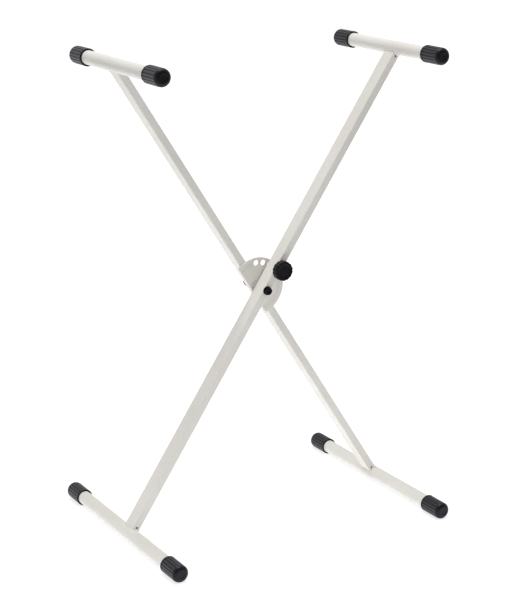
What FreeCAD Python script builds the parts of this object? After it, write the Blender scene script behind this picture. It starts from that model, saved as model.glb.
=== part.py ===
import FreeCAD, Part
import os
import re

import Sketcher

# Folding keyboard stand: two leg frames crossed on a pivot bolt, held open by a spring pin in a
# disc of holes. Millimetres. +Z is up, X runs across the X of the legs, Y runs from the near frame
# (-Y) to the far one, and the origin is on the floor under the pivot.

# Driving dimensions. Each is one cell of the sheet "Sizes", with its name as the alias.
SIZES = {
    # leg frames, with the pin at the middle one of the lock holes
    "leg_length": 1000.0,  # between the centre lines of a frame's foot tube and rest tube
    "leg_angle": 56.64,  # slope of both legs above the floor, degrees
    "leg_width": 15.0,  # of the leg's section, across the leg
    "leg_depth": 30.0,  # of the leg's section, front to back
    "leg_wall": 1.2,
    "leg_corner": 2.0,
    "tube_diameter": 25.0,
    "tube_wall": 1.2,
    "foot_span": 437.0,  # foot tube with its two caps
    "rest_span": 331.0,  # rest tube with its two caps
    "vent_diameter": 4.0,  # drain hole in a leg's front face, at each end
    "vent_land": 3.5,  # from the round tube to the drain hole's centre
    # rubber end caps
    "cap_diameter": 31.4,
    "cap_length": 50.0,
    "cap_end": 4.0,  # thickness of the closed end
    "cap_rounding": 8.0,
    "rib_count": 18,  # half of it is odd, so the cap stands on a rib, not on a groove
    "rib_groove_depth": 0.9,
    "rib_groove_width": 2.4,
    "rib_length": 30.0,  # grooves start at the cap's open end
    # lock disc, on the rear leg
    "disc_thickness": 3.0,
    "disc_chord": 13.0,  # from the pivot to the straight edge
    "disc_corner": 3.0,
    "lock_radius": 44.3,  # from the pivot to the lock holes
    "lock_edge": 9.7,  # from the lock holes' centres to the disc's rim
    "lock_step": 18.9,  # between lock holes, degrees
    "lock_count": 5,
    "lock_hole": 10.5,
    # pivot
    "bolt_diameter": 8.0,
    "bolt_fit": 0.1,  # on diameter, bolt in the front leg's bush
    "bolt_room": 0.4,  # on diameter, bolt in what is clamped
    "bolt_head": 13.0,  # across flats
    "bolt_head_height": 5.3,
    "bolt_socket": 6.0,  # round recess in the head
    "bolt_socket_depth": 1.2,
    "bolt_tail": 3.0,  # past the nut
    "nut_height": 8.0,
    "nut_collar": 1.6,  # round collar of the lock nut
    "washer_diameter": 16.0,
    "washer_thickness": 1.6,
    "pivot_play": 0.1,  # between the head's washer and the front leg
    "sleeve_diameter": 11.0,
    "slide_washer_diameter": 28.0,
    "slide_washer_thickness": 3.0,
    # spring pin
    "bush_diameter": 12.0,
    "bush_flange": 15.0,
    "bush_flange_thickness": 1.5,
    "bush_floor": 2.0,  # front wall that the spring pushes on
    "pin_diameter": 10.0,
    "pin_fit": 0.1,  # on diameter, pin and stem in the bush
    "pin_length": 14.0,
    "pin_taper": 1.5,
    "pin_stand_off": 0.3,  # pin's tip to the disc, drawn clear of it
    "stem_diameter": 5.0,
    "spring_diameter": 9.4,
    "spring_wire": 1.0,
    "spring_turns": 5,
    # knob
    "knob_diameter": 36.0,
    "knob_thickness": 13.0,
    "knob_stand_off": 4.0,  # knob's neck to the bush's flange
    "knob_neck": 18.0,
    "knob_neck_length": 1.5,
    "knob_bevel": 1.2,
    "knob_recess": 26.0,
    "knob_recess_depth": 0.6,
    "knob_grip": 9.0,  # length of the stem inside the knob
    "flute_count": 14,
    "flute_radius": 2.8,
    "flute_depth": 1.1,
}

# Lengths and places worked out from the sizes, as expressions.
HALF_LEG = "(leg_length / 2)"
LEG_LEAN = "(90 - leg_angle)"
CROSS_X = "(leg_length / 2 * cos(leg_angle * 1 deg))"
CROSS_Z = "(leg_length / 2 * sin(leg_angle * 1 deg))"
PIVOT_Z = f"({CROSS_Z} + cap_diameter / 2)"
VENT_Z = "(leg_length / 2 - tube_diameter / 2 - vent_land)"  # up the leg, from its middle
FRONT_LEG_Y = "(-slide_washer_thickness - leg_depth)"  # front face of the front leg
REAR_LEG_Y = "(disc_thickness + leg_depth)"  # rear face of the rear leg
DISC_RADIUS = "(lock_radius + lock_edge)"
LOCK_X = "(lock_radius * cos(leg_angle * 1 deg))"
LOCK_Z = f"({PIVOT_Z} + lock_radius * sin(leg_angle * 1 deg))"
PIN_SHOULDER = "(pin_stand_off + pin_length)"  # in front of the disc
FLANGE_FACE = "(slide_washer_thickness + leg_depth + bush_flange_thickness)"
KNOB_BACK = f"({FLANGE_FACE} + knob_stand_off)"
STEM_END = f"({KNOB_BACK} + knob_grip)"
BUSH_FLOOR = "(slide_washer_thickness + leg_depth + bush_flange_thickness - bush_floor)"
HEAD_SEAT = f"(-{FRONT_LEG_Y} + pivot_play + washer_thickness)"
NUT_SEAT = f"({REAR_LEG_Y} + washer_thickness)"

Y_AXIS = FreeCAD.Vector(0, 1, 0)
X_AXIS = FreeCAD.Vector(1, 0, 0)
TO_FRONT = FreeCAD.Rotation(X_AXIS, 90)  # a turned piece's own Z points at -Y
TO_REAR = FreeCAD.Rotation(X_AXIS, -90)  # and here at +Y
UPRIGHT = FreeCAD.Rotation(Y_AXIS, 0)

doc = FreeCAD.newDocument("KeyboardStand")
sheet = doc.addObject("Spreadsheet::Sheet", "Sizes")
for row, (alias, size) in enumerate(SIZES.items(), start=1):
    sheet.set(f"A{row}", alias)
    sheet.set(f"B{row}", str(size))
    sheet.setAlias(f"B{row}", alias)
doc.recompute()
bodies = []


# ---------------------------------------------------------------- expressions and sketches


def cells(expression):
    """The expression with each size's name pointing at its cell."""
    return re.sub(r"[a-z_]+", lambda m: f"Sizes.{m[0]}" if m[0] in SIZES else m[0], str(expression))


def number(expression):
    """What the expression comes to now, as a first value for a constraint."""
    found = sheet.evalExpression(cells(expression))
    return float(getattr(found, "Value", found))


def bind(item, name, expression):
    """Tie a property to the sheet."""
    item.setExpression(name, cells(expression))


def new_body(label, place=("0", "0", "0"), turn=UPRIGHT, lean=None):
    """A body at a place, turned, and leaning by an angle about +Y where one is given."""
    body = doc.addObject("PartDesign::Body", label)
    body.Label = label
    body.Placement = FreeCAD.Placement(FreeCAD.Vector(), turn)
    if lean:
        body.Placement = FreeCAD.Placement(FreeCAD.Vector(), FreeCAD.Rotation(Y_AXIS, number(lean)))
        bind(body, "Placement.Rotation.Angle", lean)
    for axis, expression in zip("xyz", place):
        bind(body, f"Placement.Base.{axis}", expression)
    bodies.append(body)
    return body


def origin_part(body, role):
    """One of the body's own origin planes or axes."""
    return next(part for part in body.Origin.OriginFeatures if part.Role == role)


def new_sketch(body, role, shift=None):
    """A sketch on one of the body's origin planes, shifted along its normal where asked."""
    sketch = body.newObject("Sketcher::SketchObject", f"{body.Label}_{role[:2]}")
    sketch.AttachmentSupport = (origin_part(body, role), [""])
    sketch.MapMode = "FlatFace"
    if shift:
        bind(sketch, "AttachmentOffset.Base.z", shift)
    return sketch


def pin_point(sketch, line, end, across, along):
    """Hold one end of a sketch line at a place given by two expressions."""
    for kind, axis, expression in (("DistanceX", -2, across), ("DistanceY", -1, along)):
        if expression == "0":
            sketch.addConstraint(Sketcher.Constraint("PointOnObject", line, end, axis))
            continue
        index = sketch.addConstraint(Sketcher.Constraint(kind, -1, 1, line, end, number(expression)))
        name = f"{kind[-1].lower()}{line}"
        sketch.renameConstraint(index, name)
        bind(sketch, f"Constraints.{name}", expression)


def draw_outline(sketch, corners):
    """A closed outline of straight lines through the corners."""
    places = [FreeCAD.Vector(number(across), number(along), 0) for across, along in corners]
    first = sketch.GeometryCount
    for index, start in enumerate(places):
        finish = places[(index + 1) % len(places)]
        sketch.addGeometry(Part.LineSegment(start, finish), False)
    for index, (across, along) in enumerate(corners):
        following = first + (index + 1) % len(corners)
        sketch.addConstraint(Sketcher.Constraint("Coincident", first + index, 2, following, 1))
        pin_point(sketch, first + index, 1, across, along)


def draw_circle(sketch, diameter, across="0", along="0"):
    """A circle with its centre at the place given."""
    centre = FreeCAD.Vector(number(across), number(along), 0)
    circle = Part.Circle(centre, FreeCAD.Vector(0, 0, 1), number(diameter) / 2)
    line = sketch.addGeometry(circle, False)
    index = sketch.addConstraint(Sketcher.Constraint("Diameter", line, number(diameter)))
    sketch.renameConstraint(index, f"diameter{line}")
    bind(sketch, f"Constraints.diameter{line}", diameter)
    pin_point(sketch, line, 3, across, along)


def draw_rectangle(sketch, width, height):
    """A rectangle centred on the sketch's origin."""
    half_width, half_height = f"({width}) / 2", f"({height}) / 2"
    draw_outline(
        sketch,
        [
            (f"-{half_width}", f"-{half_height}"),
            (half_width, f"-{half_height}"),
            (half_width, half_height),
            (f"-{half_width}", half_height),
        ],
    )


# ---------------------------------------------------------------- solid features


def volume(body):
    doc.recompute()
    return body.Shape.Volume


def pad(body, sketch, length, symmetric=False, backwards=False):
    """Add the sketch's shape."""
    feature = body.newObject("PartDesign::Pad", f"{body.Label}_pad")
    feature.Profile = sketch
    feature.SideType = "Symmetric" if symmetric else "One side"
    feature.Reversed = backwards
    bind(feature, "Length", length)
    body.Tip = feature
    doc.recompute()
    return feature


def pocket(body, sketch, length=None, symmetric=False, backwards=False):
    """Cut the sketch's shape away, right through where no length is given."""
    before = volume(body)
    feature = body.newObject("PartDesign::Pocket", f"{body.Label}_cut")
    feature.Profile = sketch
    feature.SideType = "Symmetric" if symmetric else "One side"
    feature.Reversed = backwards
    if length:
        bind(feature, "Length", length)
    else:
        feature.Type = "ThroughAll"
    body.Tip = feature
    assert volume(body) < before, f"{body.Label}: the cut takes nothing away"
    return feature


def revolve(body, corners):
    """A turned piece: corners are (radius, height), turned round the body's own Z."""
    sketch = new_sketch(body, "XZ_Plane")
    draw_outline(sketch, corners)
    feature = body.newObject("PartDesign::Revolution", f"{body.Label}_turned")
    feature.Profile = sketch
    feature.ReferenceAxis = (sketch, ["V_Axis"])
    feature.Angle = 360
    body.Tip = feature
    doc.recompute()
    return feature


def repeat_round(body, feature, axis, count, angle):
    """Copies of a cut, spread evenly round an axis."""
    before = volume(body)
    pattern = body.newObject("PartDesign::PolarPattern", f"{body.Label}_pattern")
    pattern.Originals = [feature]
    pattern.Axis = axis
    bind(pattern, "Angle", angle)
    bind(pattern, "Occurrences", count)
    body.Tip = pattern
    assert volume(body) < before, f"{body.Label}: the pattern adds no copy"
    return pattern


def round_edges(body, chosen, radius):
    """Fillet the edges that the test picks."""
    doc.recompute()
    base = body.Tip
    names = [f"Edge{i}" for i, edge in enumerate(base.Shape.Edges, start=1) if chosen(edge)]
    assert names, f"{body.Label}: no edge to round"
    feature = body.newObject("PartDesign::Fillet", f"{body.Label}_fillet")
    feature.Base = (base, names)
    bind(feature, "Radius", radius)
    body.Tip = feature
    doc.recompute()
    return feature


def is_circle(edge, radius, height):
    """True for a whole circle of this radius at this height on the body's own Z."""
    if edge.Curve.TypeId != "Part::GeomCircle":
        return False
    return abs(edge.Curve.Radius - radius) < 0.01 and abs(edge.Curve.Center.z - height) < 0.01


# ---------------------------------------------------------------- leg frames


def leg(label, lean, middle_y, pivot_hole, lock_hole=None):
    """A rectangular tube, coped to the round tubes at both ends; its own Z runs up the leg."""
    body = new_body(label, ("0", middle_y, PIVOT_Z), lean=lean)
    section = new_sketch(body, "XY_Plane")
    draw_rectangle(section, "leg_width", "leg_depth")
    draw_rectangle(section, "leg_width - 2 * leg_wall", "leg_depth - 2 * leg_wall")
    pad(body, section, "leg_length", symmetric=True)
    round_long_edges(body)
    ends = new_sketch(body, "XZ_Plane")
    draw_circle(ends, "tube_diameter", "0", HALF_LEG)
    draw_circle(ends, "tube_diameter", "0", f"-{HALF_LEG}")
    pocket(body, ends, "2 * leg_depth", symmetric=True)
    holes = new_sketch(body, "XZ_Plane")
    draw_circle(holes, pivot_hole)
    if lock_hole:
        draw_circle(holes, lock_hole, "0", "lock_radius")
    pocket(body, holes, "2 * leg_depth", symmetric=True)
    vents = new_sketch(body, "XZ_Plane")
    draw_circle(vents, "vent_diameter", "0", VENT_Z)
    draw_circle(vents, "vent_diameter", "0", f"-{VENT_Z}")
    pocket(body, vents, "leg_depth", backwards=True)
    return body


def round_long_edges(body):
    """Outer and inner corners of the leg's section, bent with one wall thickness between them."""
    half_width = number("leg_width") / 2
    length = number("leg_length")

    def long_edge(edge):
        return abs(edge.Length - length) < 0.01

    def outer(edge):
        return long_edge(edge) and abs(abs(edge.CenterOfMass.x) - half_width) < 0.01

    def inner(edge):
        inner_half = half_width - number("leg_wall")
        return long_edge(edge) and abs(abs(edge.CenterOfMass.x) - inner_half) < 0.01

    round_edges(body, outer, "leg_corner")
    round_edges(body, inner, "max(leg_corner - leg_wall; 0.2)")


def round_tube(label, place_x, place_z, span):
    """A foot or rest tube along Y, open at both ends under its caps."""
    body = new_body(label, (place_x, "0", place_z))
    section = new_sketch(body, "XZ_Plane")
    draw_circle(section, "tube_diameter")
    draw_circle(section, "tube_diameter - 2 * tube_wall")
    pad(body, section, f"{span} - 2 * cap_end", symmetric=True)
    return body


def end_cap(label, place_x, place_z, span, turn, side):
    """A ribbed rubber cap over one tube end; its own Z points out of the tube."""
    place_y = f"{side} * ({span} / 2 - cap_end)"
    body = new_body(label, (place_x, place_y, place_z), turn)
    open_end = "(cap_end - cap_length)"
    revolve(
        body,
        [
            ("0", "0"),
            ("tube_diameter / 2", "0"),
            ("tube_diameter / 2", open_end),
            ("cap_diameter / 2", open_end),
            ("cap_diameter / 2", "cap_end"),
            ("0", "cap_end"),
        ],
    )
    radius, top = number("cap_diameter / 2"), number("cap_end")
    round_edges(body, lambda edge: is_circle(edge, radius, top), "cap_rounding")
    # a V groove, drawn twice its depth so that it comes out through the skin
    groove = new_sketch(body, "XY_Plane", open_end)
    bottom = "cap_diameter / 2 - rib_groove_depth"
    mouth = "cap_diameter / 2 + rib_groove_depth"
    draw_outline(groove, [(bottom, "0"), (mouth, "rib_groove_width"), (mouth, "-rib_groove_width")])
    cut = pocket(body, groove, "rib_length", backwards=True)
    axis = (origin_part(body, "Z_Axis"), [""])
    repeat_round(body, cut, axis, "rib_count", "360")
    return body


def leg_frame(name, lean, side, middle_y, pivot_hole, lock_hole=None):
    """A leg with its foot tube, rest tube and four caps; side is where its rest tube lies on X."""
    leg(f"{name}_leg", lean, middle_y, pivot_hole, lock_hole)
    for part, way, span in (("foot", f"-{side}", "foot_span"), ("rest", side, "rest_span")):
        place_x = f"{way}1 * {CROSS_X}".replace("--", "")
        place_z = f"{PIVOT_Z} - {CROSS_Z}" if part == "foot" else f"{PIVOT_Z} + {CROSS_Z}"
        round_tube(f"{name}_{part}_tube", place_x, place_z, span)
        end_cap(f"{name}_{part}_cap_near", place_x, place_z, span, TO_FRONT, "-1")
        end_cap(f"{name}_{part}_cap_far", place_x, place_z, span, TO_REAR, "1")


# ---------------------------------------------------------------- lock disc


def lock_disc():
    """A plate with one straight edge along the rear leg and an arc of lock holes."""
    body = new_body("lock_disc", ("0", "0", PIVOT_Z), lean=f"-{LEG_LEAN}")
    blank = new_sketch(body, "XZ_Plane")
    draw_circle(blank, f"2 * {DISC_RADIUS}")
    pad(body, blank, "disc_thickness", backwards=True)
    waste = new_sketch(body, "XZ_Plane")
    far = f"(2 * {DISC_RADIUS})"
    corners = [(f"-{far}", f"-{far}"), ("-disc_chord", f"-{far}"), ("-disc_chord", far), (f"-{far}", far)]
    draw_outline(waste, corners)
    pocket(body, waste, "2 * disc_thickness", symmetric=True)
    chord, thickness = number("disc_chord"), number("disc_thickness")

    def corner(edge):
        return abs(edge.Length - thickness) < 0.01 and abs(edge.CenterOfMass.x + chord) < 0.01

    round_edges(body, corner, "disc_corner")
    pivot = new_sketch(body, "XZ_Plane")
    draw_circle(pivot, "bolt_diameter + bolt_room")
    pocket(body, pivot, "2 * disc_thickness", symmetric=True)
    # the middle hole of the row faces the pin at the setting shown
    first = "((2 * leg_angle - 90 - lock_step * (lock_count - 1) / 2) * 1 deg)"
    hole = new_sketch(body, "XZ_Plane")
    draw_circle(hole, "lock_hole", f"lock_radius * cos({first})", f"lock_radius * sin({first})")
    cut = pocket(body, hole, "2 * disc_thickness", symmetric=True)
    axis = (hole, ["N_Axis"])
    repeat_round(body, cut, axis, "lock_count", "lock_step * (lock_count - 1)")
    return body


# ---------------------------------------------------------------- pivot


def ring(label, outer, inner, back, front, place=("0", "0", PIVOT_Z)):
    """A washer or sleeve round an axis along Y, from back to front measured towards -Y."""
    body = new_body(label, place, TO_FRONT)
    inside, outside = f"({inner}) / 2", f"({outer}) / 2"
    revolve(body, [(inside, back), (outside, back), (outside, front), (inside, front)])
    return body


def hexagon(body, across_flats, height, shift):
    """A six-sided prism from a shifted plane towards the body's own Z."""
    sketch = new_sketch(body, "XY_Plane", shift)
    half = f"({across_flats}) / 2"
    point = f"({across_flats}) / sqrt(3)"
    draw_outline(
        sketch,
        [
            (point, "0"),
            (f"{point} / 2", half),
            (f"-{point} / 2", half),
            (f"-{point}", "0"),
            (f"-{point} / 2", f"-{half}"),
            (f"{point} / 2", f"-{half}"),
        ],
    )
    return pad(body, sketch, height)


def pivot_bolt():
    """The hex bolt through both legs, its head at the front."""
    body = new_body("pivot_bolt", ("0", "0", PIVOT_Z), TO_FRONT)
    tail = f"-({NUT_SEAT} + nut_height + bolt_tail)"
    hexagon(body, "bolt_head", "bolt_head_height", HEAD_SEAT)
    shank = new_sketch(body, "XY_Plane", tail)
    draw_circle(shank, "bolt_diameter")
    pad(body, shank, f"{HEAD_SEAT} + {NUT_SEAT} + nut_height + bolt_tail")
    socket = new_sketch(body, "XY_Plane", f"{HEAD_SEAT} + bolt_head_height")
    draw_circle(socket, "bolt_socket")
    pocket(body, socket, "bolt_socket_depth")
    return body


def pivot_nut():
    """The lock nut behind the rear leg: hexagon below, round collar on top."""
    body = new_body("pivot_nut", ("0", NUT_SEAT, PIVOT_Z), TO_REAR)
    hexagon(body, "bolt_head", "nut_height - nut_collar", "0")
    collar = new_sketch(body, "XY_Plane", "nut_height - nut_collar")
    draw_circle(collar, "bolt_head - 1")
    pad(body, collar, "nut_collar")
    hole = new_sketch(body, "XY_Plane")
    draw_circle(hole, "bolt_diameter")
    pocket(body, hole, "nut_height", backwards=True)
    return body


def pivot_rings():
    """Washers, the sleeve that keeps the rear leg from crushing, and the bush of the front leg."""
    clamped = "bolt_diameter + bolt_room"
    head_washer_back = f"-{FRONT_LEG_Y} + pivot_play"
    ring("pivot_head_washer", "washer_diameter", clamped, head_washer_back, HEAD_SEAT)
    ring("pivot_slide_washer", "slide_washer_diameter", clamped, "0", "slide_washer_thickness")
    ring("rear_leg_sleeve", "sleeve_diameter", clamped, f"-{REAR_LEG_Y}", "-disc_thickness")
    ring("pivot_nut_washer", "washer_diameter", clamped, f"-{NUT_SEAT}", f"-{REAR_LEG_Y}")
    bush_bore = "bolt_diameter + bolt_fit"
    ring("front_leg_bush", "sleeve_diameter", bush_bore, "slide_washer_thickness", f"-{FRONT_LEG_Y}")


# ---------------------------------------------------------------- spring pin and knob

LOCK_PLACE = (LOCK_X, "0", LOCK_Z)


def lock_bush():
    """A flanged bush through the front leg; the pin runs in it and the spring sits in front."""
    body = new_body("lock_bush", LOCK_PLACE, TO_FRONT)
    back = "slide_washer_thickness"
    leg_face = f"(-{FRONT_LEG_Y})"
    bore = "(pin_diameter + pin_fit) / 2"
    stem_bore = "(stem_diameter + pin_fit) / 2"
    revolve(
        body,
        [
            (bore, back),
            ("bush_diameter / 2", back),
            ("bush_diameter / 2", leg_face),
            ("bush_flange / 2", leg_face),
            ("bush_flange / 2", FLANGE_FACE),
            (stem_bore, FLANGE_FACE),
            (stem_bore, BUSH_FLOOR),
            (bore, BUSH_FLOOR),
        ],
    )
    return body


def lock_pin():
    """The pin with its tapered tip towards the disc and its stem out to the knob."""
    body = new_body("lock_pin", LOCK_PLACE, TO_FRONT)
    radius = "pin_diameter / 2"
    revolve(
        body,
        [
            ("0", "pin_stand_off"),
            (f"{radius} - pin_taper", "pin_stand_off"),
            (radius, "pin_stand_off + pin_taper"),
            (radius, PIN_SHOULDER),
            ("stem_diameter / 2", PIN_SHOULDER),
            ("stem_diameter / 2", STEM_END),
            ("0", STEM_END),
        ],
    )
    return body


def lock_spring():
    """The compression spring on the stem, between the pin's shoulder and the bush's floor."""
    body = new_body("lock_spring", LOCK_PLACE, TO_FRONT)
    free = f"({BUSH_FLOOR} - {PIN_SHOULDER} - spring_wire)"
    wire = new_sketch(body, "XZ_Plane")
    outside = "(spring_diameter / 2)"
    inside = f"({outside} - spring_wire)"
    bottom, top = PIN_SHOULDER, f"({PIN_SHOULDER} + spring_wire)"
    draw_outline(wire, [(inside, bottom), (outside, bottom), (outside, top), (inside, top)])
    coil = body.newObject("PartDesign::AdditiveHelix", "lock_spring_coil")
    coil.Profile = wire
    coil.ReferenceAxis = (wire, ["V_Axis"])
    coil.Mode = "height-turns-angle"
    bind(coil, "Height", free)
    bind(coil, "Turns", "spring_turns")
    body.Tip = coil
    doc.recompute()
    return body


def lock_knob():
    """The round pull knob, fluted at the rim and dished on its face."""
    body = new_body("lock_knob", LOCK_PLACE, TO_FRONT)
    rim_back = f"({KNOB_BACK} + knob_neck_length)"
    front = f"({rim_back} + knob_thickness)"
    radius = "knob_diameter / 2"
    revolve(
        body,
        [
            ("stem_diameter / 2", KNOB_BACK),
            ("knob_neck / 2", KNOB_BACK),
            ("knob_neck / 2", rim_back),
            (radius, rim_back),
            (radius, f"{front} - knob_bevel"),
            (f"{radius} - knob_bevel", front),
            ("knob_recess / 2", front),
            ("knob_recess / 2", f"{front} - knob_recess_depth"),
            ("0", f"{front} - knob_recess_depth"),
            ("0", STEM_END),
            ("stem_diameter / 2", STEM_END),
        ],
    )
    flute = new_sketch(body, "XY_Plane", rim_back)
    draw_circle(flute, "2 * flute_radius", f"{radius} - flute_depth + flute_radius", "0")
    cut = pocket(body, flute, "knob_thickness", backwards=True)
    axis = (origin_part(body, "Z_Axis"), [""])
    repeat_round(body, cut, axis, "flute_count", "360")
    return body


# ---------------------------------------------------------------- assembly and files


def check_document():
    """Stop on a failed feature or an empty or broken sub-part."""
    doc.recompute()
    for item in doc.Objects:
        assert not {"Invalid", "Error"} & set(item.State), f"{item.Label} failed: {item.State}"
    for body in bodies:
        assert not body.Shape.isNull() and body.Shape.isValid(), f"{body.Label} has no sound shape"


def write_parts():
    """One STEP file for each sub-part, named after its label."""
    os.makedirs("parts", exist_ok=True)
    for body in bodies:
        body.Shape.exportStep(f"parts/{body.Label}.step")


SLEEVE = "sleeve_diameter"
REAR_MIDDLE_Y = "(disc_thickness + leg_depth / 2)"
FRONT_MIDDLE_Y = "(-slide_washer_thickness - leg_depth / 2)"
leg_frame("rear", f"-{LEG_LEAN}", "-", REAR_MIDDLE_Y, SLEEVE)
leg_frame("front", LEG_LEAN, "", FRONT_MIDDLE_Y, SLEEVE, "bush_diameter")
lock_disc()
pivot_bolt()
pivot_nut()
pivot_rings()
lock_bush()
lock_pin()
lock_spring()
lock_knob()
check_document()
write_parts()
print(f"{len(bodies)} sub-parts")
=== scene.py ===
import math

import bmesh
import bpy
from mathutils import Matrix, Vector


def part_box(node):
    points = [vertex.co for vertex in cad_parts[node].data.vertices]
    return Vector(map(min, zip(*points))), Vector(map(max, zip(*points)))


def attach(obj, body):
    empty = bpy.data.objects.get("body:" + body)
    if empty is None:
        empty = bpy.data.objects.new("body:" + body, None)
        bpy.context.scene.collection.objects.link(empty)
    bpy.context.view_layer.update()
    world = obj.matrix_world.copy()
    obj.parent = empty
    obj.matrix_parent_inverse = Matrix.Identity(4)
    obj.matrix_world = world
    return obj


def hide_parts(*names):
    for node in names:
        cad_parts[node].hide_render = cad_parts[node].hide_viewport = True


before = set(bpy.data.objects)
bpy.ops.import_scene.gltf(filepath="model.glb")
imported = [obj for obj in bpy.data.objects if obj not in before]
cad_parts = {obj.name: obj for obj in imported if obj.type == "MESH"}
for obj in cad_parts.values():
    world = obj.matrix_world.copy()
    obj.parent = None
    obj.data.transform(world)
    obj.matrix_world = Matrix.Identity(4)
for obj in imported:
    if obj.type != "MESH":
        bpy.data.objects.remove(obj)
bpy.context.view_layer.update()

# Metres, in the frame of the CAD: +Z up, X across the X of the legs, +Y from the front leg to the rear leg.
# The disc's front face is at Y = 0. Profiles of turned shapes are in mm.
MM = 0.001
TAU = 2 * math.pi
TOP = math.pi / 2  # angle of +Z round a Y axis
LEG_ANGLE = math.radians(56.64)  # slope of each leg
LEG_HALF = 0.5  # from the pivot to the axis of a round tube
LEG_Y = 18 * MM  # middle of the rear leg; the front leg's is at -LEG_Y
LEG_W, LEG_D, LEG_CORNER = 15 * MM, 30 * MM, 2 * MM
PIVOT_Z = 0.433316
LOCK_RADIUS = 44.3 * MM  # from the pivot to the lock holes
DISC_BACK_Y = 3.0 * MM
TUBE_R = 12.5 * MM

SLOT_NODES = {
    "frame_paint": ["rear_leg", "rear_foot_tube", "rear_rest_tube", "front_leg", "front_foot_tube",
                    "front_rest_tube", "lock_disc", "lock_bush"],
    "black_steel": ["pivot_nut_washer", "pivot_head_washer"],
    "bright_steel": ["lock_pin", "lock_spring", "rear_leg_sleeve", "front_leg_bush"],
    "slide_plastic": ["pivot_slide_washer"],
}


# ---------------------------------------------------------------- node graphs


class Graph:
    """The node tree of a material or a world, with short calls for the nodes used here."""

    def __init__(self, owner, output="OutputMaterial"):
        owner.use_nodes = True
        self.tree = owner.node_tree
        self.tree.nodes.clear()
        self.output = self.node(output, {})
        self.coords = self.node("TexCoord", {}).outputs

    def node(self, kind, inputs, **settings):
        """A new node. An input is a constant, which goes on the socket, or another node's output."""
        node = self.tree.nodes.new("ShaderNode" + kind)
        for name, setting in settings.items():
            setattr(node, name, setting)
        for socket, value in inputs.items():
            if isinstance(value, bpy.types.NodeSocket):
                self.tree.links.new(value, node.inputs[socket])
            else:
                node.inputs[socket].default_value = value
        return node

    def show(self, shader):
        self.tree.links.new(shader.outputs[0], self.output.inputs["Surface"])

    def stretched(self, x, y, z):
        inputs = {"Vector": self.coords["Object"], "Scale": (x, y, z)}
        return self.node("Mapping", inputs).outputs[0]

    def noise(self, scale, detail=3.0, rough=0.55, at=None, distort=0.0):
        inputs = {"Vector": at or self.coords["Object"], "Scale": scale, "Detail": detail,
                  "Roughness": rough, "Distortion": distort}
        return self.node("TexNoise", inputs).outputs["Fac"]

    def cells(self, scale):
        inputs = {"Vector": self.coords["Object"], "Scale": scale}
        return self.node("TexVoronoi", inputs).outputs["Distance"]

    def ranged(self, value, low, high, to_low, to_high, interpolation="LINEAR"):
        inputs = {"Value": value, "From Min": low, "From Max": high, "To Min": to_low, "To Max": to_high}
        return self.node("MapRange", inputs, interpolation_type=interpolation).outputs["Result"]

    def patches(self, value, low, high, most=1.0):
        """0 where the value is under low, rising smoothly to `most` where it is over high."""
        return self.ranged(value, low, high, 0.0, most, "SMOOTHSTEP")

    def varied(self, scale, detail, least, most):
        """A value that wanders between least and most over the surface."""
        return self.ranged(self.noise(scale, detail), 0.3, 0.7, least, most)

    def calc(self, operation, a, b=0.0):
        return self.node("Math", {0: a, 1: b}, operation=operation).outputs[0]

    def apart(self, vector):
        """The X, Y and Z outputs of a vector."""
        return self.node("SeparateXYZ", {0: vector}).outputs

    def mixed(self, factor, a, b):
        return self.node("Mix", {"Factor": factor, 6: a, 7: b}, data_type="RGBA").outputs[2]

    def mixed_shaders(self, factor, a, b):
        return self.node("MixShader", {0: factor, 1: a.outputs[0], 2: b.outputs[0]})

    def bumped(self, height, strength, distance, below=None):
        inputs = {"Strength": strength, "Distance": distance, "Height": height}
        if below is not None:
            inputs["Normal"] = below
        return self.node("Bump", inputs).outputs[0]


class Finish(Graph):
    """A material round one principled shader."""

    def __init__(self, name):
        self.material = bpy.data.materials.new(name)
        super().__init__(self.material)

    def finished(self, colour, roughness, normal, metallic=0.0, specular=0.5, tint=(1, 1, 1, 1)):
        inputs = {"Base Color": colour, "Roughness": roughness, "Normal": normal, "Metallic": metallic,
                  "Specular IOR Level": specular, "Specular Tint": tint}
        self.show(self.node("BsdfPrincipled", inputs))
        return self.material


# ---------------------------------------------------------------- materials

PAINT = (0.800, 0.782, 0.738, 1)
COOL_GLOSS = (0.90, 0.86, 1.0, 1)  # tint of the black mouldings' reflections


def pin_track(paint):
    """Where the lock pin's tip rubs: 1 on a ring through the lock holes on the disc's front, 0 off it."""
    x, y, z = paint.apart(paint.coords["Object"])
    z = paint.calc("SUBTRACT", z, PIVOT_Z)
    radius = paint.calc("SQRT", paint.calc("ADD", paint.calc("MULTIPLY", x, x), paint.calc("MULTIPLY", z, z)))
    off = paint.calc("ABSOLUTE", paint.calc("SUBTRACT", radius, LOCK_RADIUS))
    worn = paint.ranged(off, 2.0 * MM, 5.5 * MM, 1.0, 0.0, "SMOOTHSTEP")
    # fine lines that run round the pivot
    turn = paint.calc("ARCTAN2", z, x)
    polar = {"X": paint.calc("MULTIPLY", radius, 2600.0), "Y": paint.calc("MULTIPLY", turn, 7.0)}
    lines = paint.noise(1.0, 4.0, 0.6, paint.node("CombineXYZ", polar).outputs[0])
    worn = paint.calc("MULTIPLY", worn, paint.ranged(lines, 0.42, 0.62, 0.05, 0.8, "SMOOTHSTEP"))
    return paint.calc("MULTIPLY", worn, paint.ranged(y, 0.1 * MM, 0.3 * MM, 1.0, 0.0))


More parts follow.
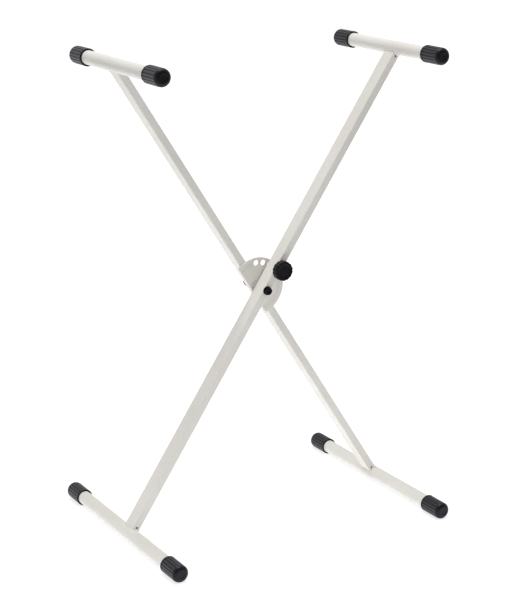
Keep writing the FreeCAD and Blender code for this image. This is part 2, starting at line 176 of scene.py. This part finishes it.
def powder_coat(name, track=False):
    """Off-white powder coat: orange peel, a fine grain, faint clouds, small darker spots and scuffs."""
    paint = Finish(name)
    tone = paint.mixed(paint.patches(paint.noise(7.0, 3.0), 0.35, 0.65), PAINT, (0.765, 0.742, 0.695, 1))
    spots = paint.patches(paint.noise(95.0, 4.0, 0.6), 0.58, 0.78, 0.35)
    tone = paint.mixed(spots, tone, (0.70, 0.68, 0.63, 1))
    scuffs = paint.patches(paint.noise(30.0, 6.0, 0.7, paint.stretched(1.0, 6.0, 1.0), 0.6), 0.70, 0.80, 0.5)
    tone = paint.mixed(scuffs, tone, (0.62, 0.61, 0.58, 1))
    rough = paint.varied(160.0, 4.0, 0.42, 0.58)
    if track:
        worn = pin_track(paint)
        tone = paint.mixed(paint.calc("MULTIPLY", worn, 0.55), tone, (0.53, 0.515, 0.48, 1))
        rough = paint.calc("SUBTRACT", rough, paint.calc("MULTIPLY", worn, 0.12))
    normal = paint.bumped(paint.noise(420.0, 2.0), 0.20, 0.30 * MM)
    normal = paint.bumped(paint.noise(1900.0, 3.0), 0.16, 0.08 * MM, normal)
    return paint.finished(tone, rough, normal, specular=0.34)


def weld_paint(name):
    """The same coat over a weld bead: mottled, with a coarser peel and small pits."""
    paint = Finish(name)
    tone = paint.mixed(paint.patches(paint.noise(260.0, 4.0), 0.38, 0.68), PAINT, (0.66, 0.635, 0.585, 1))
    normal = paint.bumped(paint.noise(700.0, 3.0), 0.35, 0.3 * MM)
    normal = paint.bumped(paint.cells(900.0), 0.12, 0.2 * MM, normal)
    return paint.finished(tone, paint.varied(500.0, 3.0, 0.34, 0.5), normal, specular=0.45)


def rubber(name, bloom_tone, rough_range, grain, specular):
    """Moulded black rubber, cool in tone, with a fine grain, a bloom that clouds it and specks of dust."""
    moulding = Finish(name)
    bloom = moulding.patches(moulding.noise(85.0, 5.0, 0.65), 0.42, 0.70)
    tone = moulding.mixed(bloom, (0.0040, 0.0040, 0.0055, 1), bloom_tone)
    dust = moulding.patches(moulding.noise(700.0, 3.0, 0.7), 0.66, 0.82, 0.5)
    tone = moulding.mixed(dust, tone, (0.030, 0.030, 0.034, 1))
    normal = moulding.bumped(moulding.cells(1300.0), grain, 0.14 * MM)
    normal = moulding.bumped(moulding.noise(330.0, 3.0), 0.12, 0.3 * MM, normal)
    rough = moulding.varied(240.0, 4.0, *rough_range)
    return moulding.finished(tone, rough, normal, specular=specular, tint=COOL_GLOSS)


def plastic():
    """Black moulding with a spark-eroded grain."""
    moulding = Finish("knob_plastic")
    cloud = moulding.patches(moulding.noise(150.0, 4.0), 0.4, 0.7)
    tone = moulding.mixed(cloud, (0.0024, 0.0024, 0.0036, 1), (0.0055, 0.0055, 0.0078, 1))
    normal = moulding.bumped(moulding.cells(2100.0), 0.22, 0.10 * MM)
    normal = moulding.bumped(moulding.noise(160.0, 2.0), 0.08, 0.4 * MM, normal)
    rough = moulding.varied(420.0, 4.0, 0.30, 0.46)
    return moulding.finished(tone, rough, normal, specular=0.12, tint=COOL_GLOSS)


def black_oxide():
    """Blackened steel with lighter rubbed flecks."""
    steel = Finish("black_steel")
    worn = steel.patches(steel.noise(620.0, 5.0, 0.7), 0.62, 0.82, 0.5)
    tone = steel.mixed(worn, (0.0028, 0.0028, 0.0034, 1), (0.06, 0.059, 0.057, 1))
    normal = steel.bumped(steel.noise(1300.0, 4.0), 0.20, 0.08 * MM)
    return steel.finished(tone, steel.varied(300.0, 4.0, 0.26, 0.42), normal, metallic=0.15, specular=0.13)


def zinc():
    """Bright zinc-plated steel, with turning marks round the Y axis and faint clouding."""
    steel = Finish("bright_steel")
    cloud = steel.patches(steel.noise(120.0, 4.0), 0.35, 0.7)
    tone = steel.mixed(cloud, (0.62, 0.62, 0.60, 1), (0.50, 0.50, 0.49, 1))
    turned = steel.noise(1.0, 2.0, 0.5, steel.stretched(60.0, 5200.0, 60.0))
    normal = steel.bumped(turned, 0.22, 0.05 * MM)
    normal = steel.bumped(steel.noise(1700.0, 3.0), 0.08, 0.05 * MM, normal)
    return steel.finished(tone, steel.varied(380.0, 4.0, 0.22, 0.36), normal, metallic=1.0)


def nylon():
    """Natural nylon of the slide washer and the lock nut's ring."""
    washer = Finish("slide_plastic")
    cloud = washer.patches(washer.noise(210.0, 4.0), 0.4, 0.7)
    tone = washer.mixed(cloud, (0.60, 0.59, 0.55, 1), (0.50, 0.48, 0.44, 1))
    normal = washer.bumped(washer.noise(1200.0, 3.0), 0.15, 0.06 * MM)
    return washer.finished(tone, washer.varied(350.0, 3.0, 0.42, 0.58), normal, specular=0.4)


materials = {
    "frame_paint": powder_coat("frame_paint"),
    "cap_rubber": rubber("cap_rubber", (0.0090, 0.0085, 0.0145, 1), (0.26, 0.40), grain=0.18, specular=0.33),
    "knob_plastic": plastic(),
    "black_steel": black_oxide(),
    "bright_steel": zinc(),
    "slide_plastic": nylon(),
}
weld = weld_paint("frame_paint_weld")
# A darker, less shiny copy of the rubber for the grooves between the ribs: painted shade in the recesses.
cap_groove_painted_shade = rubber("cap_rubber_groove_painted_shade", (0.0050, 0.0048, 0.0075, 1), (0.38, 0.54), grain=0.20, specular=0.17)
cap_end = rubber("cap_rubber_end", (0.0050, 0.0050, 0.0068, 1), (0.32, 0.46), grain=0.12, specular=0.20)
disc_paint = powder_coat("frame_paint_disc", track=True)

for slot_name, names in SLOT_NODES.items():
    for node_name in names:
        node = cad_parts[node_name]
        finish = disc_paint if node_name == "lock_disc" else materials[slot_name]
        for material_slot in node.material_slots:
            material_slot.material = finish


# ---------------------------------------------------------------- mesh tools

SAME_POINT = 1e-7  # vertices closer than this are one


def make_piece(name, verts, faces, finishes, body, crease, zones=None):
    """A mesh object on a body, with sharp edges over `crease` degrees.

    zones gives each face's number in the list of finishes.
    """
    mesh = bpy.data.meshes.new(name)
    mesh.from_pydata([tuple(v) for v in verts], [], faces)
    if zones:
        mesh.polygons.foreach_set("material_index", zones)
    shape = bmesh.new()
    shape.from_mesh(mesh)
    bmesh.ops.remove_doubles(shape, verts=shape.verts, dist=SAME_POINT)
    bmesh.ops.recalc_face_normals(shape, faces=shape.faces)
    for face in shape.faces:
        face.smooth = True
    for edge in shape.edges:
        if len(edge.link_faces) == 2 and edge.calc_face_angle(0.0) > math.radians(crease):
            edge.smooth = False
    shape.to_mesh(mesh)
    shape.free()
    for finish in finishes:
        mesh.materials.append(finish)
    piece = bpy.data.objects.new(name, mesh)
    bpy.context.scene.collection.objects.link(piece)
    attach(piece, body)
    return piece


def at_angle(value, angle):
    return value(angle) if callable(value) else value


def turned_shape(rings, sides, place):
    """Verts, faces and each face's strip number, for a shape turned round an axis.

    A ring is (along, radius) in mm. Either can be a function of the angle, and a radius of 0 is a pole.
    place(along, radius, angle) gives the vertex.
    """
    verts, rows = [], []
    for along, radius in rings:
        if radius == 0:
            rows.append([len(verts)] * sides)
            verts.append(place(along, 0.0, 0.0))
            continue
        rows.append(list(range(len(verts), len(verts) + sides)))
        for k in range(sides):
            angle = TAU * k / sides
            verts.append(place(at_angle(along, angle), at_angle(radius, angle), angle))
    faces, strips = [], []
    for strip, (low, high) in enumerate(zip(rows, rows[1:])):
        for k in range(sides):
            after = (k + 1) % sides
            corners = [low[k], low[after], high[after], high[k]]
            corners = [c for i, c in enumerate(corners) if c not in corners[:i]]
            if len(corners) > 2:
                faces.append(corners)
                strips.append(strip)
    return verts, faces, strips


def turned_piece(name, rings, sides, place, body, slot, crease):
    """A turned shape in its slot's own material."""
    verts, faces, _ = turned_shape(rings, sides, place)
    return make_piece(name, verts, faces, [materials[slot]], body, crease)


def along_y(x, z, start, sign):
    """Places a turned shape with its axis along Y: `along` runs from start, towards sign."""
    def place(along, radius, angle):
        reach = radius * MM
        return Vector((x + reach * math.cos(angle), start + sign * along * MM, z + reach * math.sin(angle)))
    return place


def clamped(t):
    return min(1.0, max(0.0, t))


def eased(t):
    t = clamped(t)
    return t * t * (3 - 2 * t)


# ---------------------------------------------------------------- rubber caps

CAP_R = 15.7
CAP_ROUNDING = 8
CAP_ROUNDING_START = 42
CAP_ROUNDING_STEPS = 18
RIBS = 18
RIB_DEPTH = 1.0
RIBS_START, RIBS_END = 3.6, 45.2  # from the mouth
RIBS_RISE, RIBS_FADE = 1.2, 4.5  # lengths over which the grooves get deep, and shallow again
CUT_POWER = 1.4  # over 1, cuts are narrower than what stands between them
CREST_LIMIT = -0.35  # cosine where a rib's material gives way to the groove's darker copy, which is painted shade
SIDES_PER_RIB = 14
CREST, END, SHADED_GROOVE = 0, 1, 2  # zones of a cap; the groove zone's darker rubber is painted shade


def ribbed(along, radius=CAP_R):
    """The radius at a distance from the mouth, with the grooves between the ribs cut into it."""
    depth = RIB_DEPTH * eased((along - RIBS_START) / RIBS_RISE) * eased((RIBS_END - along) / RIBS_FADE)

    def cut(angle):
        wave = 0.5 - 0.5 * math.cos(RIBS * (angle - TOP))
        return radius - depth * wave ** CUT_POWER
    return cut


def cap_shoulder():
    """The rounding from the grip to the end, as (along, radius) points."""
    points = []
    for i in range(CAP_ROUNDING_STEPS + 1):
        turn = math.radians(90 - 90 * i / CAP_ROUNDING_STEPS)
        points.append((CAP_ROUNDING_START + CAP_ROUNDING * math.cos(turn),
                       CAP_R - CAP_ROUNDING + CAP_ROUNDING * math.sin(turn)))
    return points


def cap_rings():
    """Rings from inside the bore round the lip, along the grip and over the end. Also the grip's strips."""
    tube = TUBE_R / MM
    lip = [(14.0, tube + 0.02), (0.9, tube + 0.02), (0.45, tube + 0.12), (0.1, tube + 0.5), (0.0, tube + 1.0),
           (0.0, CAP_R - 0.9), (0.12, CAP_R - 0.45), (0.5, CAP_R - 0.08), (0.9, CAP_R), (3.0, CAP_R),
           (3.2, CAP_R - 0.22), (3.5, CAP_R - 0.22)]
    straight = (3.7, 3.9, 4.2, 4.5, 4.9, 8, 12, 16, 20, 24, 28, 32, 36, 39, 40.7, 41.4)
    shoulder = cap_shoulder()
    grip = [(along, ribbed(along)) for along in straight]
    grip += [(along, ribbed(along, radius)) for along, radius in shoulder if along < RIBS_END]
    end = [(along, radius) for along, radius in shoulder if along >= RIBS_END]
    end += [(50.0, 6.6), (49.9, 6.35), (49.55, 6.15), (49.45, 5.7), (49.5, 3.0), (49.55, 1.2), (49.55, 0)]
    return lip + grip + end, range(len(lip) - 1, len(lip) + len(grip))


def cap_piece(name, node, body):
    """Rubber cap: a plain lip at the mouth, ribs along the grip, a smooth rounded end with a shallow dish."""
    low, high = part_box(node)
    x, z = (low.x + high.x) / 2, (low.z + high.z) / 2
    sign = 1 if low.y + high.y > 0 else -1
    mouth = low.y if sign > 0 else high.y
    rings, grip = cap_rings()
    sides = RIBS * SIDES_PER_RIB
    verts, faces, strips = turned_shape(rings, sides, along_y(x, z, mouth, sign))
    zones = []
    for i, strip in enumerate(strips):
        middle = TAU * (i % sides + 0.5) / sides
        # Faces in the grooves take the darker rubber as painted shade; the crests keep the plain rubber.
        on_crest = math.cos(RIBS * (middle - TOP)) > CREST_LIMIT
        zones.append((CREST if on_crest else SHADED_GROOVE) if strip in grip else END)
    finishes = [materials["cap_rubber"], cap_end, cap_groove_painted_shade]
    piece = make_piece(name, verts, faces, finishes, body, crease=50, zones=zones)
    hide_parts(node)


for side in ("front", "rear"):
    for end in ("foot", "rest"):
        for place in ("near", "far"):
            cap_piece(f"{side}_{end}_{place}_ribbed_cap", f"{side}_{end}_cap_{place}", f"{side}_frame")


# ---------------------------------------------------------------- knob

FLUTES = 14
FLUTE_DEPTH = 0.9
FLUTE_SPREAD = 0.25  # over 0, a scallop takes more than half of its share of the rim
SIDES_PER_FLUTE = 16
NECK_R = 9.0
PARTING, PARTING_DEPTH = 8.0, 0.07  # the mould's parting line, from the neck's end
KNOB_EDGE, KNOB_EDGE_STEPS = 1.6, 8  # rounding between the side and the face


def fluted(radius, share=1.0):
    """The radius with rounded scallops cut into it, to a share of their full depth."""
    def cut(angle):
        dip = max(0.0, FLUTE_SPREAD - math.cos(FLUTES * (angle - TOP))) / (1 + FLUTE_SPREAD)
        return radius - FLUTE_DEPTH * share * dip ** CUT_POWER
    return cut


def knob_piece():
    """Pull knob: rounded scallops, a soft shoulder, a dished face with a raised centre, a neck behind."""
    low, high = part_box("lock_knob")
    x, z = (low.x + high.x) / 2, (low.z + high.z) / 2
    thick = (high.y - low.y) / MM
    outer = (high.z - low.z) / 2 / MM
    neck = [(0.0, 0), (0.0, NECK_R * 0.6), (0.0, NECK_R - 0.3), (0.3, NECK_R), (1.1, NECK_R),
            (1.4, NECK_R + 0.15), (1.5, NECK_R + 0.6)]
    back = [(1.5, outer - 3.0), (1.55, fluted(outer - 1.6, 0.5)), (1.75, fluted(outer - 0.8, 0.8)),
            (2.1, fluted(outer - 0.3, 0.95))]
    side = [(along, fluted(outer)) for along in (2.7, 3.6, 6, 7.9)]
    side.append((PARTING, fluted(outer - PARTING_DEPTH)))
    side += [(along, fluted(outer)) for along in (8.1, 9, 11, thick - 2.6)]
    edge = []
    for i in range(1, KNOB_EDGE_STEPS + 1):
        turn = math.radians(90 * i / KNOB_EDGE_STEPS)
        radius = outer - KNOB_EDGE + KNOB_EDGE * math.cos(turn)
        edge.append((thick - KNOB_EDGE + KNOB_EDGE * math.sin(turn),
                     fluted(radius, 1.0 - 0.45 * i / KNOB_EDGE_STEPS)))
    face = [(thick, fluted(outer - 2.4, 0.25)), (thick, outer - 3.6), (thick, 13.3),
            (thick - 0.12, 12.95), (thick - 0.5, 12.7), (thick - 0.6, 12.2), (thick - 0.62, 8),
            (thick - 0.5, 4), (thick - 0.42, 1.5), (thick - 0.4, 0)]
    piece = turned_piece("pull_knob", neck + back + side + edge + face, FLUTES * SIDES_PER_FLUTE,
                         along_y(x, z, high.y, -1), "lock_pull", "knob_plastic", crease=55)
    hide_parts("lock_knob")


knob_piece()


# ---------------------------------------------------------------- pivot bolt and nut

HEX_R = 6.5  # half the width across the flats, of the bolt's head and of the nut
HEX_CORNER = 1.135  # reach of a rounded corner against HEX_R; a sharp one reaches 1.155
HEX_SIDES = 96
CHAMFER_START = 0.96  # against HEX_R
CHAMFER_SLOPE = math.tan(math.radians(30))
HEAD_TALL = 5.3
SHANK_R = 4.0
PITCH, THREAD_DEPTH, RINGS_PER_TURN = 1.25, 0.62, 8
ROOT_FLAT, FLANK = 0.12, 0.7  # shares of half a pitch; the rest is the crest's flat
THREAD_FADE = 0.5
NUT_BORE = 4.05
RING_SIDES = 64
HEX_CREASE = 32


def hexagon(angle):
    """Radius of the hexagon, with slightly rounded corners."""
    from_flat = angle % (TAU / 6) - TAU / 12
    return min(HEX_R / math.cos(from_flat), HEX_R * HEX_CORNER)


def chamfered(base, direction):
    """Where a chamfer cone that starts from base cuts the hexagon's sides, along the axis."""
    def along(angle):
        return base + direction * (hexagon(angle) - HEX_R * CHAMFER_START) * CHAMFER_SLOPE
    return along


def threaded(first, last):
    """Rings of the bolt's thread: the radius turns with the angle, and fades into the core at the end."""
    rings, steps = [], int((last - first) / PITCH * RINGS_PER_TURN)
    for i in range(steps + 1):
        along = first + (last - first) * i / steps

        def radius(angle, along=along):
            wave = abs(((along / PITCH - angle / TAU) % 1.0) * 2 - 1)
            crest = clamped((wave - ROOT_FLAT) / FLANK)
            fade = clamped((last - along) / THREAD_FADE)
            return SHANK_R - THREAD_DEPTH * (1 - crest * fade)
        rings.append((along, radius))
    return rings


def bolt_piece():
    """Hex head with a chamfer and a round recess, plain shank, rolled thread at the tail."""
    low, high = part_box("pivot_bolt")
    length = (high.y - low.y) / MM
    recess = [(1.2, 0), (1.2, 1.4), (1.15, 2.7), (1.0, 2.95), (0.15, 3.0), (0.0, 3.2)]
    head = [(0.0, HEX_R * 0.72), (0.0, HEX_R * 0.93), (0.04, HEX_R * CHAMFER_START),
            (chamfered(0.06, 1), hexagon), (HEAD_TALL - 0.45, hexagon),
            (HEAD_TALL - 0.2, lambda angle: hexagon(angle) * 0.985), (HEAD_TALL - 0.2, HEX_R * 0.97),
            (HEAD_TALL, HEX_R * 0.95), (HEAD_TALL, 4.6)]
    shank = [(HEAD_TALL + 0.3, 4.05), (HEAD_TALL + 0.6, SHANK_R)]
    tail = [(length - 0.2, 3.3), (length, 2.9), (length, 1.2), (length, 0)]
    rings = recess + head + shank + threaded(length - 5.0, length - 0.6) + tail
    piece = turned_piece("hex_bolt", rings, HEX_SIDES, along_y(0.0, PIVOT_Z, low.y, 1),
                         "rear_frame", "black_steel", crease=HEX_CREASE)
    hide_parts("pivot_bolt")


def nut_piece():
    """Lock nut: a chamfered hexagon, and a round collar that holds the nylon ring."""
    low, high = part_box("pivot_nut")
    tall = (high.y - low.y) / MM
    collar = tall - 1.6
    rings = [(0.0, NUT_BORE), (0.0, 4.6), (0.0, HEX_R * 0.95), (chamfered(0.0, 1), hexagon),
             (chamfered(collar - 0.1, -1), hexagon), (collar, HEX_R * 0.955), (collar + 0.1, 5.9),
             (collar + 0.5, 5.75), (tall - 0.4, 5.7), (tall - 0.1, 5.5), (tall, 5.2), (tall - 0.05, 5.0),
             (tall - 0.3, 4.95), (tall - 0.3, NUT_BORE), (0.0, NUT_BORE)]
    place = along_y(0.0, PIVOT_Z, low.y, 1)
    piece = turned_piece("lock_nut", rings, HEX_SIDES, place, "rear_frame", "black_steel", crease=HEX_CREASE)
    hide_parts("pivot_nut")
    ring = [(tall - 1.2, 4.03), (tall - 0.28, 4.03), (tall - 0.18, 4.15), (tall - 0.18, 4.75),
            (tall - 0.3, 4.94), (tall - 1.2, 4.94), (tall - 1.2, 4.03)]
    turned_piece("lock_nut_ring", ring, RING_SIDES, place, "rear_frame", "slide_plastic", crease=40)


bolt_piece()
nut_piece()


# ---------------------------------------------------------------- weld beads

BEAD_SIDES = 10
BEAD_HEIGHT = 0.85  # against half its width
TAPER = 6  # points over which an open bead grows from its end
TIP = 0.02  # square of the scale at an open bead's very end
RIPPLES = ((0.10, 1.5 * MM, 1), (0.05, 7.3 * MM, 2), (0.04, 3.1 * MM, 5))  # share, wavelength, times the seed
CORNER_STEPS = 4
LEG_WELD_R, LEG_WELD_STEP = 1.25 * MM, 0.5 * MM
LEG_WELD_OUT, LEG_WELD_LIFT = 0.25 * MM, 0.15 * MM  # off the leg's section, and off the round tube
LEG_WELD_LEAN = (0.8, 0.6)  # shares of the leg's and of the tube's normal in the bead's direction
LEG_WELD_SEEDS = {"front_foot": 0.3, "front_rest": 1.1, "rear_foot": 2.2, "rear_rest": 3.7}
STITCH_R, STITCH_LENGTH, STITCH_POINTS = 1.6 * MM, 22, 45
STITCH_ASIDE, STITCH_BACK = 0.2 * MM, 0.35 * MM  # off the leg's side, and off the disc
Y_AXIS = Vector((0, 1, 0))


def ripple(run, seed):
    """Uneven scale of a weld bead along its run, from sines of several wavelengths."""
    return sum((share * math.sin(TAU * run / wave + turn * seed) for share, wave, turn in RIPPLES), 1.0)


def bead(name, path, outward, radius, body, seed, closed=True):
    """A rippled bead along a path. outward gives each point's direction out of the corner that it fills."""
    count = len(path)
    verts, run = [], 0.0
    for i, point in enumerate(path):
        after = path[(i + 1) % count] if closed or i < count - 1 else point
        before = path[i - 1] if closed or i else point
        tangent = (after - before).normalized()
        out = (outward[i] - tangent * outward[i].dot(tangent)).normalized()
        across = tangent.cross(out)
        run += (point - path[i - 1]).length if i else 0.0
        size = radius * ripple(run, seed)
        if not closed:
            size *= math.sqrt(max(TIP, eased(i / TAPER) * eased((count - 1 - i) / TAPER)))
        for k in range(BEAD_SIDES):
            angle = TAU * k / BEAD_SIDES
            verts.append(point + (out * math.cos(angle) * BEAD_HEIGHT + across * math.sin(angle)) * size)
    faces = []
    for i in range(count if closed else count - 1):
        row, next_row = i * BEAD_SIDES, (i + 1) % count * BEAD_SIDES
        for k in range(BEAD_SIDES):
            next_k = (k + 1) % BEAD_SIDES
            faces.append([row + k, row + next_k, next_row + next_k, next_row + k])
    if not closed:
        faces.append(list(range(BEAD_SIDES)))
        faces.append(list(range((count - 1) * BEAD_SIDES, count * BEAD_SIDES)))
    make_piece(name, verts, faces, [weld], body, crease=60)


def on_corner(centre, degrees):
    """A point of the rounded corner about a centre, with the outward normal there."""
    turn = math.radians(degrees)
    normal_w, normal_d = math.cos(turn), math.sin(turn)
    return centre[0] + LEG_CORNER * normal_w, centre[1] + LEG_CORNER * normal_d, normal_w, normal_d


def section_outline():
    """Points and outward normals round the leg's section: across its width, and front to back."""
    wide, deep = LEG_W / 2 - LEG_CORNER, LEG_D / 2 - LEG_CORNER
    centres = [(wide, deep), (-wide, deep), (-wide, -deep), (wide, -deep)]
    points = []
    for i, centre in enumerate(centres):
        points += [on_corner(centre, 90 * i + 90 * k / CORNER_STEPS) for k in range(CORNER_STEPS + 1)]
        w0, d0, normal_w, normal_d = on_corner(centre, 90 * i + 90)
        w1, d1, _, _ = on_corner(centres[(i + 1) % 4], 90 * i + 90)
        steps = max(2, int(math.hypot(w1 - w0, d1 - d0) / LEG_WELD_STEP))
        for k in range(1, steps):
            t = k / steps
            points.append((w0 + (w1 - w0) * t, d0 + (d1 - d0) * t, normal_w, normal_d))
    return points


def leg_end_weld(name, tube, along_leg, body, seed):
    """The bead round a leg's coped end, where it meets the round tube at a point of the tube's axis."""
    across = Vector((-along_leg.z, 0, along_leg.x))
    path, out = [], []
    for w, d, normal_w, normal_d in section_outline():
        w += normal_w * LEG_WELD_OUT
        d += normal_d * LEG_WELD_OUT
        lift = math.sqrt(TUBE_R ** 2 - w ** 2)
        path.append(tube + along_leg * (lift + LEG_WELD_LIFT) + across * w + Y_AXIS * d)
        away = (across * w + along_leg * lift).normalized()
        out.append((across * normal_w + Y_AXIS * normal_d) * LEG_WELD_LEAN[0] + away * LEG_WELD_LEAN[1])
    bead(name, path, out, LEG_WELD_R, body, seed)


def leg_end_welds():
    """The four coped ends. lean is 1 for the leg that rises towards +X, and rise 1 for a leg's upper end."""
    run_x, run_z = math.cos(LEG_ANGLE), math.sin(LEG_ANGLE)
    for leg, lean in (("front", 1), ("rear", -1)):
        for end, rise in (("foot", -1), ("rest", 1)):
            tube = Vector((lean * rise * LEG_HALF * run_x, -lean * LEG_Y, PIVOT_Z + rise * LEG_HALF * run_z))
            along_leg = Vector((-lean * rise * run_x, 0, -rise * run_z))
            leg_end_weld(f"{leg}_{end}_weld", tube, along_leg, f"{leg}_frame", LEG_WELD_SEEDS[f"{leg}_{end}"])


def disc_welds():
    """Stitches between the lock disc's back and the rear leg's two sides. They end at `reach` mm."""
    up_leg = Vector((-math.cos(LEG_ANGLE), 0, math.sin(LEG_ANGLE)))
    across = Vector((up_leg.z, 0, -up_leg.x))
    middle = Vector((0, DISC_BACK_Y, PIVOT_Z))
    for tag, side, reach in (("upper", 1, 46), ("lower", -1, 40)):
        aside = across * side * (LEG_W / 2 + STITCH_ASIDE)
        out = [across * side + Y_AXIS] * STITCH_POINTS
        for end, sign in (("high", 1), ("low", -1)):
            path = []
            for i in range(STITCH_POINTS):
                run = sign * (reach - STITCH_LENGTH + STITCH_LENGTH * i / (STITCH_POINTS - 1)) * MM
                path.append(middle + up_leg * run + aside + Y_AXIS * STITCH_BACK)
            seed = side + sign * 0.4
            bead(f"disc_stitch_{tag}_{end}", path, out, STITCH_R, "rear_frame", seed, closed=False)


leg_end_welds()
disc_welds()


# ---------------------------------------------------------------- floor, light and camera

FLOOR_HALF = 6.0
WORLD_LIGHT = 0.305
FLOOR_FADE = (-0.3, -1.4)  # Y where the fade for reflections starts and ends
WORLD_FADE = (-0.1, -0.75)  # the same, as a direction's Y
GLOW_REACH, GLOW = (0.35, 1.3), (0.82, 1.03)  # distances from the middle, and the seen floor's glow there

# name, place, aim, width, height, watts
LAMPS = (
    ("overhead", (0, 0, 6.0), (0, 0, 0), 3.0, 3.0, 240),
    ("left_side", (-4.0, -0.9, 0.5), (0, 0, 0.3), 1.0, 0.5, 12),
    ("table_glow", (0, 0, 0.003), (0, 0, 5), 2.2, 2.2, 8.0),
    ("front_low", (-0.3, -0.9, 0.05), (0, 0, 0.12), 1.3, 0.1, 0.42),
)

CAMERA_PLACE = (-1.4711, -2.4577, 1.2243)
CAMERA_TURNS = (-30.11, 15.81, 0.31)  # yaw, pitch down and roll, in degrees
CAMERA_SHIFT = (0.0372, -0.0053)
FOCAL_LENGTH, PICTURE_HEIGHT = 1638.0, 600  # pixels
SENSOR = 36.0


def front_fade(graph, coordinate, near, far):
    """1 at the back and sides of the studio, down to 0 in its unlit front, by place or direction along Y."""
    y = graph.apart(graph.coords[coordinate])["Y"]
    return graph.ranged(y, far, near, 0.0, 1.0, "SMOOTHSTEP")


def seen_rays(graph, faded):
    """1 for camera and transmission rays, which see a white studio, and the given fade for glossy ones."""
    rays = graph.node("LightPath", {}).outputs
    glossy = graph.calc("MULTIPLY", rays["Is Glossy Ray"], faded)
    clear = graph.calc("MAXIMUM", rays["Is Camera Ray"], rays["Is Transmission Ray"])
    return graph.calc("MAXIMUM", clear, glossy)


def floor_material():
    """Matt and pale for the light it throws back. The floor that is seen glows: white with soft shadows."""
    material = bpy.data.materials.new("studio_floor")
    graph = Graph(material)
    material.cycles.emission_sampling = "NONE"
    matt = graph.node("BsdfDiffuse", {"Color": (0.86, 0.86, 0.87, 1)})
    shown = graph.node("BsdfDiffuse", {"Color": (0.44, 0.43, 0.42, 1)})
    reach = graph.node("VectorMath", {0: graph.coords["Object"]}, operation="LENGTH").outputs["Value"]
    strength = graph.ranged(reach, *GLOW_REACH, *GLOW)
    glow = graph.node("Emission", {"Color": (0.97, 0.98, 1.0, 1), "Strength": strength})
    both = graph.node("AddShader", {0: shown.outputs[0], 1: glow.outputs[0]})
    seen = seen_rays(graph, front_fade(graph, "Object", *FLOOR_FADE))
    graph.show(graph.mixed_shaders(seen, matt, both))
    return material


def make_floor():
    mesh = bpy.data.meshes.new("floor")
    shape = bmesh.new()
    bmesh.ops.create_grid(shape, x_segments=8, y_segments=8, size=FLOOR_HALF)
    shape.to_mesh(mesh)
    shape.free()
    mesh.materials.append(floor_material())
    floor = bpy.data.objects.new("floor", mesh)
    bpy.context.scene.collection.objects.link(floor)


def make_world():
    """An even, nearly white light, and a white background for the rays that see it."""
    world = bpy.data.worlds.new("studio")
    bpy.context.scene.world = world
    graph = Graph(world, "OutputWorld")
    world.cycles.sampling_method = "NONE"
    light = graph.node("Background", {"Color": (1.0, 0.995, 0.985, 1), "Strength": WORLD_LIGHT})
    white = graph.node("Background", {"Color": (1, 1, 1, 1), "Strength": 1.0})
    seen = seen_rays(graph, front_fade(graph, "Generated", *WORLD_FADE))
    graph.show(graph.mixed_shaders(seen, light, white))


def soft_box(name, place, aim, width, height, power):
    """A rectangular lamp that faces a point, and that the camera doesn't see."""
    lamp = bpy.data.lights.new(name, "AREA")
    lamp.shape = "RECTANGLE"
    lamp.size, lamp.size_y, lamp.energy = width, height, power
    box = bpy.data.objects.new(name, lamp)
    box.location = place
    box.rotation_mode = "QUATERNION"
    box.rotation_quaternion = (Vector(aim) - Vector(place)).to_track_quat("-Z", "Y")
    box.visible_camera = False
    bpy.context.scene.collection.objects.link(box)


def make_camera():
    data = bpy.data.cameras.new("camera")
    camera = bpy.data.objects.new("camera", data)
    bpy.context.scene.collection.objects.link(camera)
    yaw, pitch, roll = (math.radians(turn) for turn in CAMERA_TURNS)
    forward = Vector((-math.sin(yaw) * math.cos(pitch), math.cos(yaw) * math.cos(pitch), -math.sin(pitch)))
    right = Vector((math.cos(yaw), math.sin(yaw), 0))
    up = right.cross(forward)
    level_right = right * math.cos(roll) + up * math.sin(roll)
    level_up = up * math.cos(roll) - right * math.sin(roll)
    turned = Matrix((level_right, level_up, -forward)).transposed()
    camera.matrix_world = Matrix.Translation(CAMERA_PLACE) @ turned.to_4x4()
    data.sensor_width = SENSOR
    data.lens = FOCAL_LENGTH / PICTURE_HEIGHT * SENSOR
    data.shift_x, data.shift_y = CAMERA_SHIFT
    data.clip_start, data.clip_end = 0.05, 50
    bpy.context.scene.camera = camera


make_floor()
make_world()
for lamp_values in LAMPS:
    soft_box(*lamp_values)
make_camera()
bpy.context.scene.view_settings.view_transform = "Standard"
